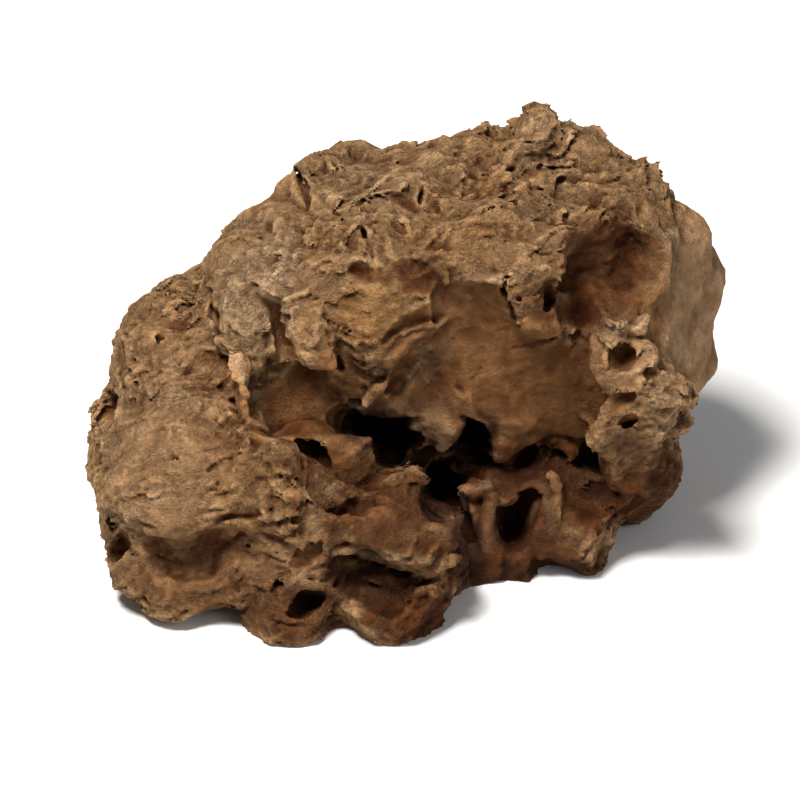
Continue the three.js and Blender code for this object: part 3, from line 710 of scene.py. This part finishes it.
def calm_share(solid, near, front):
    """How much of the relief stays at each of the places near the surface: the calm zones' shares
    multiplied together, each within its ellipse and within reach of the front surface."""
    i, j, k = np.nonzero(near)
    reach = 1 - smooth_step(*ZONE_REACH, np.abs(solid.axes[2][k] - front[i, j]))
    share = np.ones(len(i), np.float32)
    for middle, size, turn, stays in CALM:
        inner = inside_zone(solid.axes[0][i], solid.axes[1][j], middle, size, turn, ZONE_RIM)
        share *= 1 - (1 - stays) * inner * reach
    return share


def lay_skin(solid, values, front):
    """Adds the crust and the worn relief to every place near the surface, by its roughness."""
    near = np.abs(solid.distance) < SKIN_DEPTH
    place = [axis[near] for axis in solid.bent]
    rough = solid.rough[near]
    relief = rough * crust_relief(place, values) + (1 - rough) * worn_relief(place)
    solid.distance[near] -= calm_share(solid, near, front) * relief


def open_pores(solid, values):
    """Cuts small rounded pores into the rough skin. Their places and sizes are random but always the same.
    A pore's radius is 0.3 to 1 of the widest, most being small; it is up to 1.8 times as long along the
    beds and 0.7 to 1.6 times as deep, and lies within 20 degrees of 18 degrees up to the right."""
    chance = np.random.default_rng(PORE_SEED)
    skin = np.argwhere(np.abs(solid.distance) < 0.55 * solid.edge)
    weight = np.clip(solid.rough[tuple(skin.T)] - 0.3, 0.02, 1) ** 1.5
    picked = skin[chance.choice(len(skin), values.pore_count, replace=False, p=weight / weight.sum())]
    for index in picked:
        radius = values.pore_radius * MM * (0.3 + 0.7 * chance.random() ** 3.5)
        long, deep = 1 + 0.8 * chance.random() ** 2, 0.7 + 0.9 * chance.random()
        span = int((radius * max(long, deep) + 1.5) / solid.edge) + 1
        part = tuple(slice(max(0, at - span), at + span + 1) for at in index)
        turn = (0, 0, 18 + 40 * (chance.random() - 0.5))
        own = [axis[part] for axis in solid.crumbled]
        middle = [float(axis[tuple(index)]) for axis in solid.crumbled]
        form = form_distance(own, middle, (radius * long, radius, radius * deep), turn, 2.0)
        solid.distance[part] = -rounded_least(-solid.distance[part], form, 0.5)


def stone_solid(values, edge):
    """The whole stone: main forms, finer forms on them, the skin, the pores and the flat underside."""
    solid = Solid(edge)
    for forms, cut in ((LUMPS, False), (HOLLOWS, True), (HANGING, False)):
        for form in forms.values():
            solid.change(solid.bent, *form, cut, MAIN_BORDER)
    front = solid.front()
    finer = (
        (FLAT_FACES, solid.straight, True), (FINE_LUMPS, solid.crumbled, False),
        (FINE_HOLLOWS, solid.crumbled, True),
    )
    for forms, place, cut in finer:
        for (across, up, ahead), *form in forms.values():
            middle = (across, up, solid.front_at(front, across, up) + ahead)
            solid.change(place, middle, *form, cut, FINE_BORDER)
    wear(solid, front)
    lay_skin(solid, values, front)
    open_pores(solid, values)
    height = math.cos(VIEW_ELEVATION) * solid.place[1] + math.sin(VIEW_ELEVATION) * solid.place[2]
    np.maximum(solid.distance, -height, out=solid.distance)
    return solid, solid.front()


def skin_points(solid, cubes, offsets):
    """One point for each of these cubes: the mean of where the surface crosses the cube's edges."""
    value = np.stack([solid.distance[tuple((cubes + offset).T)] for offset in offsets], 1)
    total, hits = np.zeros((len(cubes), 3), np.float32), np.zeros(len(cubes), np.float32)
    for a in range(8):
        for b in range(a + 1, 8):
            if np.abs(offsets[a] - offsets[b]).sum() != 1:
                continue
            crossed = (value[:, a] < 0) != (value[:, b] < 0)
            t = np.where(crossed, value[:, a] / np.where(crossed, value[:, a] - value[:, b], 1), 0)
            where = offsets[a] + t[:, None] * (offsets[b] - offsets[a])
            total += np.where(crossed[:, None], where, 0)
            hits += crossed
    return (cubes + total / hits[:, None]) * solid.edge + np.array(SPACE_LOW)


def skin_faces(inside, number):
    """One four-sided face for every grid edge that the surface crosses, between the points of the four
    cubes round that edge, turned so that it faces outwards."""
    faces = []
    for axis in range(3):
        first, second = [(1, 2), (2, 0), (0, 1)][axis]
        low = [slice(1, -1)] * 3
        low[axis] = slice(0, -1)
        high = list(low)
        high[axis] = slice(1, None)
        near, far = inside[tuple(low)], inside[tuple(high)]
        at = np.argwhere(near != far)
        leaving = near[tuple(at.T)]
        at = at + np.array([0 if a == axis else 1 for a in range(3)])
        step_first, step_second = np.eye(3, dtype=int)[first], np.eye(3, dtype=int)[second]
        ring = [at - step_first - step_second, at - step_second, at, at - step_first]
        quad = np.stack([number[tuple(r.T)] for r in ring], 1)
        quad[~leaving] = quad[~leaving][:, ::-1]
        faces.append(quad)
    return np.concatenate(faces)


def skin_mesh(solid):
    """The surface where the distance is nought, as points and four-sided faces. Every cube of the grid
    that has corners both inside and outside gets a point."""
    inside = solid.distance < 0
    offsets = np.array([(i, j, k) for i in (0, 1) for j in (0, 1) for k in (0, 1)])
    last = np.array(inside.shape) - 1
    corners = [inside[i:i + last[0], j:j + last[1], k:k + last[2]] for i, j, k in offsets]
    count = sum(corner.astype(np.int8) for corner in corners)
    cubes = np.argwhere((count > 0) & (count < 8))
    number = np.full(count.shape, -1, np.int32)
    number[tuple(cubes.T)] = np.arange(len(cubes))
    return skin_points(solid, cubes, offsets), skin_faces(inside, number)


def largest_body(points, faces):
    """Only the faces of the largest connected surface. Each point takes the lowest number among its
    neighbours, over and over, until none changes."""
    label = np.arange(len(points))
    while True:
        least = label[faces].min(1)
        new = label.copy()
        for corner in range(faces.shape[1]):
            np.minimum.at(new, faces[:, corner], least)
        new = new[new]
        if (new == label).all():
            break
        label = new
    keep = label == np.bincount(label).argmax()
    faces = faces[keep[faces[:, 0]]]
    new_number = np.cumsum(keep) - 1
    return points[keep], new_number[faces]


def mesh_from(name, points, faces):
    """A mesh of these points and four-sided faces, put in as whole arrays."""
    mesh = bpy.data.meshes.new(name)
    mesh.vertices.add(len(points))
    mesh.vertices.foreach_set("co", points.astype(np.float32).ravel())
    mesh.loops.add(faces.size)
    mesh.loops.foreach_set("vertex_index", faces.astype(np.int32).ravel())
    mesh.polygons.add(len(faces))
    mesh.polygons.foreach_set("loop_start", np.arange(0, faces.size, faces.shape[1], dtype=np.int32))
    mesh.update(calc_edges=True)
    mesh.validate()
    return mesh


def thinned(mesh, limit):
    """The mesh with fewer triangles: edges are collapsed where the surface changes least, and a point's
    share in the vertex group says how readily, more so where it faces away from the viewer."""
    triangles = sum(len(p.vertices) - 2 for p in mesh.polygons)
    if triangles <= limit:
        return mesh
    rig = bpy.data.objects.new("thinning", mesh)
    bpy.context.scene.collection.objects.link(rig)
    group = rig.vertex_groups.new(name="behind")
    facing = arrays_of(mesh)[1][:, 2] > 0.05
    group.add([int(i) for i in np.flatnonzero(facing)], FRONT_SHARE, "REPLACE")
    group.add([int(i) for i in np.flatnonzero(~facing)], 1.0, "REPLACE")
    thin = rig.modifiers.new("Thin", "DECIMATE")
    thin.ratio = limit / triangles
    thin.vertex_group = "behind"
    thin.vertex_group_factor = 0.01
    result = bpy.data.meshes.new_from_object(rig.evaluated_get(bpy.context.evaluated_depsgraph_get()))
    bpy.data.objects.remove(rig)
    return result


def arrays_of(mesh):
    """The mesh's points, normals and edges as arrays."""
    points = np.zeros(len(mesh.vertices) * 3, np.float32)
    normals = points.copy()
    edges = np.zeros(len(mesh.edges) * 2, np.int32)
    mesh.vertices.foreach_get("co", points)
    mesh.vertices.foreach_get("normal", normals)
    mesh.edges.foreach_get("vertices", edges)
    return points.reshape(-1, 3), normals.reshape(-1, 3), edges.reshape(-1, 2)


def standing_out(points, normals, edges, rounds):
    """How far each point stands out of its surroundings, in mm: its way along its normal from where it
    comes to when the skin is smoothed, every round moving each point to the mean of its neighbours and
    itself."""
    count = np.bincount(edges.ravel(), minlength=len(points)) + 1.0
    smooth = points.astype(np.float64)
    for _ in range(rounds):
        moved = smooth.copy()
        for axis in range(3):
            moved[:, axis] += np.bincount(edges[:, 0], smooth[edges[:, 1], axis], len(points))
            moved[:, axis] += np.bincount(edges[:, 1], smooth[edges[:, 0], axis], len(points))
        smooth = moved / count[:, None]
    return ((points - smooth) * normals).sum(1)


def stain_masks(points, solid, front):
    """How much of each tone the skin has, 0 to 1, painted shade among them: the strongest of that tone's
    ellipses, their rims broken up by ripples, within reach of the front surface."""
    across, up, towards = points.T
    i = np.clip(((across - SPACE_LOW[0]) / solid.edge).astype(int), 0, front.shape[0] - 1)
    j = np.clip(((up - SPACE_LOW[1]) / solid.edge).astype(int), 0, front.shape[1] - 1)
    reach = 1 - smooth_step(*STAIN_REACH, front[i, j] - towards)
    place = [across, up, towards]
    bend = sum(share * ripple(place, (cell,) * 3, start) for share, cell, start in STAIN_RIPPLES)
    masks = {}
    for tone, places in STAINS.items():
        masks[tone] = np.zeros(len(points))
        for middle, size, turn, strength in places:
            inner = inside_zone(across, up, middle, size, turn, STAIN_RIM, bend)
            masks[tone] = np.maximum(masks[tone], strength * inner * reach)
    return masks


def put_attribute(mesh, name, values):
    """One number for each point of the mesh, under this name."""
    layer = mesh.attributes.new(name, "FLOAT", "POINT")
    layer.data.foreach_set("value", np.asarray(values, np.float32))


def dress_mesh(mesh, solid, front):
    """Writes onto the skin what its finish follows: how rough it is, how far it stands out at a fine and a
    broad scale, from which the finish paints shade and highlight, and its stains and painted shade."""
    points, normals, edges = arrays_of(mesh)
    cells = np.round((points - np.array(SPACE_LOW, np.float32)) / solid.edge).astype(int)
    index = tuple(np.clip(cells, 0, np.array(solid.rough.shape) - 1).T)
    put_attribute(mesh, "crust", solid.rough[index])
    for name, rounds, span in RELIEF_SCALES:
        put_attribute(mesh, name, np.clip(0.5 + standing_out(points, normals, edges, rounds) / span, 0, 1))
    for tone, mask in stain_masks(points, solid, front).items():
        put_attribute(mesh, tone, mask)


def colour(value):
    """A property's colour with full cover, as a shader takes it."""
    return (*value, 1.0)


class Nodes:
    """Lays out a material's nodes and links them."""

    def __init__(self, name):
        self.material = bpy.data.materials.new(name)
        self.material.use_nodes = True
        self.tree = self.material.node_tree
        self.shader = self.tree.nodes["Principled BSDF"]
        self.place = self.add("TexCoord").outputs["Object"]

    def add(self, kind, links=(), **settings):
        """A node with these settings; links are (its input, what feeds it: a socket or a value)."""
        node = self.tree.nodes.new("ShaderNode" + kind)
        for key, value in settings.items():
            setattr(node, key, value)
        for socket, source in links:
            if isinstance(source, bpy.types.NodeSocket):
                self.tree.links.new(source, node.inputs[socket])
            else:
                node.inputs[socket].default_value = source
        return node

    def attribute(self, name):
        return self.add("Attribute", attribute_name=name).outputs["Fac"]

    def scaled(self, value, low, high, out_low=0.0, out_high=1.0):
        """Maps low to high onto out_low to out_high, held within them."""
        links = [(0, value), (1, low), (2, high), (3, out_low), (4, out_high)]
        return self.add("MapRange", links, clamp=True).outputs[0]

    def maths(self, operation, *values):
        return self.add("Math", enumerate(values), operation=operation).outputs[0]

    def times(self, first, second):
        return self.maths("MULTIPLY", first, second)

    def plus(self, first, second):
        return self.maths("ADD", first, second)

    def vectors(self, operation, first, second):
        return self.add("VectorMath", [(0, first), (1, second)], operation=operation).outputs[0]

    def mixed(self, share, first, second):
        """Goes from the first colour to the second as the share goes from 0 to 1."""
        return self.add("Mix", [(0, share), (6, first), (7, second)], data_type="RGBA").outputs[2]

    def cloud(self, size, detail, offset, rough=0.55):
        """Soft noise whose broadest blotches are this many metres wide."""
        shifted = self.add("Mapping", [(0, self.place), (1, offset)]).outputs[0]
        links = [("Vector", shifted), ("Scale", 1 / size), ("Detail", detail), ("Roughness", rough)]
        return self.add("TexNoise", links).outputs[0]

    def cells(self, place, size, low, high):
        """0 in the middle of scattered cells of this size in metres, 1 towards their borders."""
        voronoi = self.add("TexVoronoi", [("Vector", place), ("Scale", 1 / size)], feature="F1")
        return self.scaled(voronoi.outputs["Distance"], low, high)

    def creases(self, size, offset):
        """0 along crooked lines, 1 away from them."""
        folded = self.maths("ABSOLUTE", self.plus(self.cloud(size, 5, offset, 0.6), -0.5))
        return self.scaled(folded, 0.0, 0.10)

    def scarps(self, rise, step, size, share, offset):
        """How far along its small ledge a place lies: 0 at the foot of the lip, 1 at the next one's."""
        way = self.plus(self.times(rise, 1 / step), self.times(self.cloud(size, 5, offset, 0.6), share))
        return self.maths("FRACT", way)

    def shelf(self, way):
        """Juts out within the first eighth of the way, then draws back."""
        return self.maths("MINIMUM", self.times(way, 8), self.scaled(way, 1.0, 0.12))


def stone_grain(n):
    """The fine grain of the finish: pores, crumbs and creases added up, the finest grain alone, and the
    small ledges as a bump and as the painted shadow under their lips. The ledges keep to flaky patches, and
    their beds rise along one direction of the stone's own frame."""
    warp = n.add("TexNoise", [("Vector", n.place), ("Scale", 1 / 0.004), ("Detail", 3)]).outputs[1]
    shaken = n.vectors("ADD", n.place, n.vectors("MULTIPLY", warp, (0.0022, 0.0022, 0.0022)))
    fine = n.cloud(0.0009, 4, (1.7, 0.1, 2.1), 0.7)
    large, small = n.cells(shaken, 0.0036, 0.10, 0.36), n.cells(shaken, 0.0017, 0.05, 0.45)
    pores = n.plus(n.times(large, 0.24), n.times(small, 0.14))
    rough = n.plus(n.times(n.creases(0.0045, (0.7, 2.1, 1.1)), 0.22), n.times(fine, 0.44))
    grain = n.plus(n.plus(pores, rough), n.times(n.creases(0.0020, (2.7, 0.4, 1.9)), 0.16))

    beds = n.add("VectorMath", [(0, n.place), (1, (-0.28, 0.24, 0.98))], operation="DOT_PRODUCT")
    rise = beds.outputs["Value"]
    flaky = n.scaled(n.cloud(0.012, 3, (5.3, 2.2, 0.6)), 0.38, 0.56)
    main = n.scarps(rise, 0.0036, 0.0060, 7.0, (3.1, 0.2, 1.5))
    finer = n.scarps(rise, 0.0019, 0.0036, 6.0, (0.6, 4.2, 2.5))
    flakes = n.times(n.plus(n.times(n.shelf(main), 0.34), n.times(n.shelf(finer), 0.18)), flaky)
    # Painted shadow at the foot of each small ledge, under its lip.
    under = n.plus(n.times(n.scaled(main, 0.72, 1.0), 0.42), n.times(n.scaled(finer, 0.70, 1.0), 0.26))
    return grain, fine, flakes, n.times(under, flaky)


def limestone_finish(values):
    """Dry porous limestone: tan crust mottled with cream and ochre, red-brown hollows, dark pores, pale
    lines along the rims. Painted shade darkens the low places, the broad hollows, the pores, the foot of
    each small ledge, the caverns and undersides, and the red-brown tone also paints shade on the shaded
    walls; painted highlight lightens what stands out, and the rims are partly painted highlight. The tones
    follow the skin's attributes and noise on Object coordinates; the fine grain is a bump."""
    n = Nodes("limestone")
    crust, relief, hollow = n.attribute("crust"), n.attribute("relief"), n.attribute("hollow")
    patch = n.scaled(n.cloud(0.030, 4, (0.3, 0.1, 0.2)), 0.42, 0.62)
    mottle = n.scaled(n.cloud(0.008, 6, (1.3, 0.4, 0.9), 0.65), 0.36, 0.66)
    grain, fine_grain, flakes, under = stone_grain(n)
    shown = n.scaled(crust, 0.1, 0.9, 0.55, 1.0)

    def mottled(share, low, high):
        """A share that goes from low to high of itself as the mottle goes from 0 to 1."""
        return n.times(share, n.scaled(mottle, 0, 1, low, high))

    pale, ochre = colour(values.pale_colour), colour(values.ochre_colour)
    umber_and_shade, pit = colour(values.umber_and_shade_colour), colour(values.pit_and_shade_colour)
    brown = n.mixed(n.times(patch, 0.3), colour(values.brown_colour), umber_and_shade)
    tones = (
        (n.times(patch, 0.35), ochre),
        (n.times(mottle, 0.35), pale),
        (n.times(n.attribute("ochre"), 0.75), ochre),
        (mottled(n.scaled(crust, 0.75, 0.3), 1.0, 0.75), brown),
        (n.times(n.attribute("brown"), n.scaled(relief, 0.75, 0.35, 0.25, 0.95)), brown),
        (mottled(n.attribute("pale"), 0.45, 0.95), pale),
        # Red-brown stain in the hollows, and painted shade on shaded walls and under the overhangs.
        (mottled(n.attribute("umber_and_shade"), 1.1, 0.9), umber_and_shade),
        # The grain's low places darkened: dirt in the pores, and painted shade that the bump itself does not
        # cast.
        (n.times(n.scaled(grain, 0.82, 0.44), n.times(shown, 0.5)), pit),
        # Painted shadow under the small ledges' lips.
        (n.times(under, n.scaled(crust, 0.3, 0.8)), pit),
        # Painted shade where the skin lies lower than its surroundings.
        (n.scaled(relief, 0.45, 0.17, 0.0, 0.78), pit),
        # Painted shade in the caverns, undercuts and undersides.
        (mottled(n.attribute("dark"), 1.05, 0.9), pit),
        # Pale lines along the rims, partly painted highlight.
        (mottled(n.attribute("rim"), 0.6, 1.0), pale),
    )
    base = colour(values.crust_colour)
    for share, tone in tones:
        base = n.mixed(share, base, tone)
    # Painted shade in the broad hollows: the colour darker and redder where the skin lies low.
    painted_hollow_shade = n.mixed(n.scaled(hollow, 0.50, 0.26), (1, 1, 1, 1), (0.57, 0.38, 0.26, 1))
    base = n.vectors("MULTIPLY", base, painted_hollow_shade)
    # Painted highlight: brighter where the grain, the fine relief and the broad swells stand out.
    lit_grain = n.scaled(n.times(shown, n.scaled(grain, 0.9, 1.15)), 0, 1, 1.0, 1.3)
    painted_highlight = n.times(n.scaled(relief, 0.5, 0.76, 1.0, 1.6), lit_grain)
    painted_highlight = n.times(painted_highlight, mottled(n.scaled(hollow, 0.5, 0.70, 1.0, 1.3), 0.88, 1.14))
    base = n.add("VectorMath", [(0, base), ("Scale", painted_highlight)], operation="SCALE").outputs[0]
    n.tree.links.new(base, n.shader.inputs["Base Color"])
    n.tree.links.new(n.scaled(fine_grain, 0, 1, 0.82, 0.98), n.shader.inputs["Roughness"])
    n.shader.inputs["Specular IOR Level"].default_value = 0.08

    height = n.plus(n.times(grain, shown), n.times(flakes, n.scaled(crust, 0.2, 0.8)))
    bump = n.add("Bump", [("Height", height), ("Distance", 0.0018), ("Strength", 1.0)])
    n.tree.links.new(bump.outputs[0], n.shader.inputs["Normal"])
    return n.material


class STONE_OT_body(bpy.types.Operator):
    """Build the stone's finished skin in place of its plain solid"""
    bl_idname = "stone.body"
    bl_label = "Stone"

    def execute(self, context):
        values = context.scene.limestone
        edge = values.grain_edge * MM
        solid, front = stone_solid(values, edge)
        mesh = mesh_from("stone_skin", *largest_body(*skin_mesh(solid)))
        dress_mesh(mesh, solid, front)
        mesh = thinned(mesh, values.triangle_limit)
        mesh.vertices.foreach_set("co", to_rock(arrays_of(mesh)[0]).astype(np.float32).ravel())
        mesh.update()
        mesh.polygons.foreach_set("use_smooth", np.ones(len(mesh.polygons), bool))
        mesh.materials.append(limestone_finish(values))
        skin = bpy.data.objects.new("stone_skin", mesh)
        context.scene.collection.objects.link(skin)
        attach(skin, "root")
        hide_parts("stone")
        return {"FINISHED"}


def lay_floor(scene, tone):
    """A plain square floor under the stone."""
    mesh = bpy.data.meshes.new("floor")
    corners = [(x * FLOOR_HALF, y * FLOOR_HALF, 0) for x, y in ((-1, -1), (1, -1), (1, 1), (-1, 1))]
    mesh.from_pydata(corners, [], [(0, 1, 2, 3)])
    floor = bpy.data.objects.new("floor", mesh)
    paint = bpy.data.materials.new("floor_paint")
    paint.use_nodes = True
    shader = paint.node_tree.nodes["Principled BSDF"]
    shader.inputs["Base Color"].default_value = colour(tone)
    shader.inputs["Roughness"].default_value = 0.9
    mesh.materials.append(paint)
    scene.collection.objects.link(floor)


def soft_light(scene, name, place, size, power, tone):
    """A square lamp at a place, turned so that its face looks at the aim."""
    lamp = bpy.data.lights.new(name, "AREA")
    lamp.shape, lamp.size, lamp.energy, lamp.color = "SQUARE", size, power, tone
    light = bpy.data.objects.new(name, lamp)
    light.location = place
    x, y, z = (a - b for a, b in zip(AIM, place))
    light.rotation_euler = (math.atan2(math.hypot(x, y), -z), 0, math.atan2(-x, y))
    scene.collection.objects.link(light)


def place_camera(scene, values):
    """A long lens that looks down at the aim by the viewer's angle, as far off as its view width asks."""
    lens = bpy.data.cameras.new("view")
    lens.lens = values.lens
    lens.sensor_width = 36.0
    distance = values.width * values.lens / lens.sensor_width
    camera = bpy.data.objects.new("view", lens)
    back, rise = math.cos(VIEW_ELEVATION) * distance, math.sin(VIEW_ELEVATION) * distance
    camera.location = (AIM[0], AIM[1] - back, AIM[2] + rise)
    camera.rotation_euler = (math.pi / 2 - VIEW_ELEVATION, 0, 0)
    scene.collection.objects.link(camera)
    scene.camera = camera


class STONE_OT_stage(bpy.types.Operator):
    """Lay the floor, hang the lights and place the camera"""
    bl_idname = "stone.stage"
    bl_label = "Stage"

    def execute(self, context):
        scene, values = context.scene, context.scene.limestone_stage
        lay_floor(scene, values.floor_colour)
        soft_light(scene, "key", (-0.42, -0.38, 1.46), 0.5, values.key_power, (1.0, 0.97, 0.93))
        soft_light(scene, "fill", (1.2, -1.1, 0.7), 1.2, values.fill_power, (0.95, 0.97, 1.0))
        scene.world = bpy.data.worlds.new("sky")
        scene.world.use_nodes = True
        sky = scene.world.node_tree.nodes["Background"]
        sky.inputs["Color"].default_value = (0.95, 0.97, 1.0, 1)
        sky.inputs["Strength"].default_value = values.sky_strength
        place_camera(scene, values)
        scene.view_settings.view_transform = "Standard"
        return {"FINISHED"}


class STONE_PT_panel(bpy.types.Panel):
    """Sizes and colours of the stone, and what builds it"""
    bl_label = "Stone"
    bl_idname = "STONE_PT_panel"
    bl_space_type = "VIEW_3D"
    bl_region_type = "UI"
    bl_category = "Stone"

    def draw(self, context):
        for operator in (STONE_OT_body, STONE_OT_stage):
            self.layout.operator(operator.bl_idname)
        for group in (context.scene.limestone, context.scene.limestone_stage):
            box = self.layout.box()
            for name in group.bl_rna.properties.keys():
                if name not in ("rna_type", "name"):
                    box.prop(group, name)


CLASSES = (LimestoneValues, StageValues, STONE_OT_body, STONE_OT_stage, STONE_PT_panel)


def register():
    for each in CLASSES:
        bpy.utils.register_class(each)
    bpy.types.Scene.limestone = bpy.props.PointerProperty(type=LimestoneValues)
    bpy.types.Scene.limestone_stage = bpy.props.PointerProperty(type=StageValues)


def unregister():
    del bpy.types.Scene.limestone_stage
    del bpy.types.Scene.limestone
    for each in reversed(CLASSES):
        bpy.utils.unregister_class(each)


def main():
    """Builds the stage, then the stone."""
    register()
    bpy.ops.stone.stage()
    bpy.ops.stone.body()
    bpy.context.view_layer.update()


if __name__ == "__main__":
    main()
